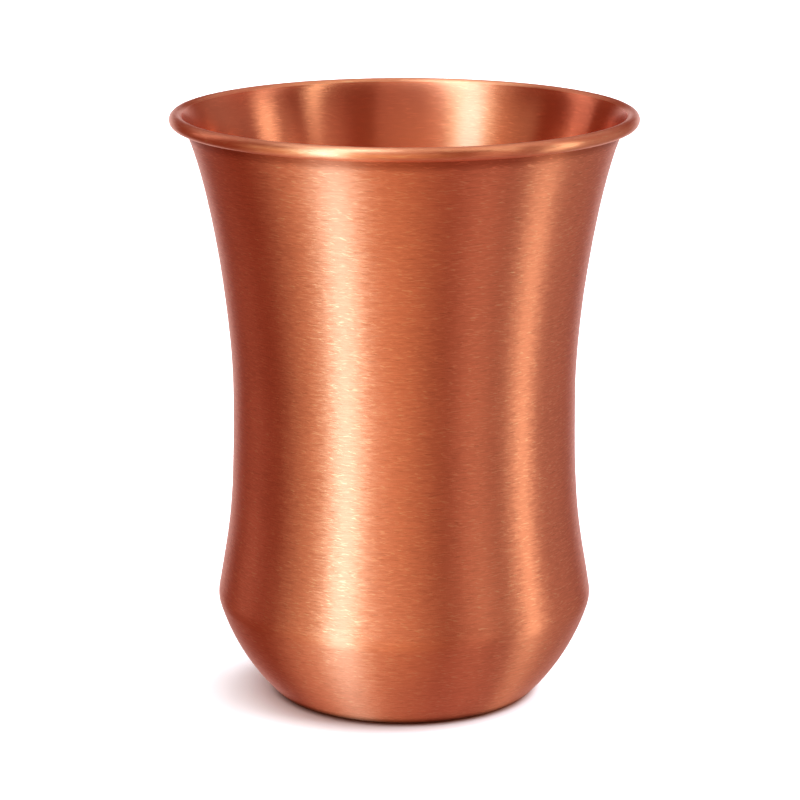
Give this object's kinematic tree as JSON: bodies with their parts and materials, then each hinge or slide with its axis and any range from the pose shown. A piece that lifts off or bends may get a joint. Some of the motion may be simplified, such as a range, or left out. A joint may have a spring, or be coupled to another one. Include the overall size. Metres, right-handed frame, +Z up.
{
  "type": "drinking tumbler",
  "caption": "Handle-less copper drinking tumbler with a flared mouth, a rolled wired rim, a narrow waist, a creased belly and a round bowl on a flat foot.",
  "frame": {"origin": "middle of the flat foot, on the surface that the tumbler stands on", "axes": "+Z up along the tumbler's axis of revolution, from the foot to the mouth; +X and +Y lie in the foot's plane and are interchangeable"},
  "size_m": [0.086, 0.086, 0.11],
  "materials": {
    "brushed_copper_wall": "brushed copper, fine scratches running round the body, semi-gloss",
    "brushed_copper_base": "brushed copper, fine scratches running round the bowl, semi-gloss",
    "copper_wire": "drawn copper wire, satin, hidden in the rim",
    "braze_filler": "pale brazing alloy, satin"
  },
  "bodies": {
    "root": {"flared_wall": "brushed_copper_wall", "base_cup": "brushed_copper_base", "rim_wire": "copper_wire", "braze_ring": "braze_filler"}
  },
  "joints": []
}
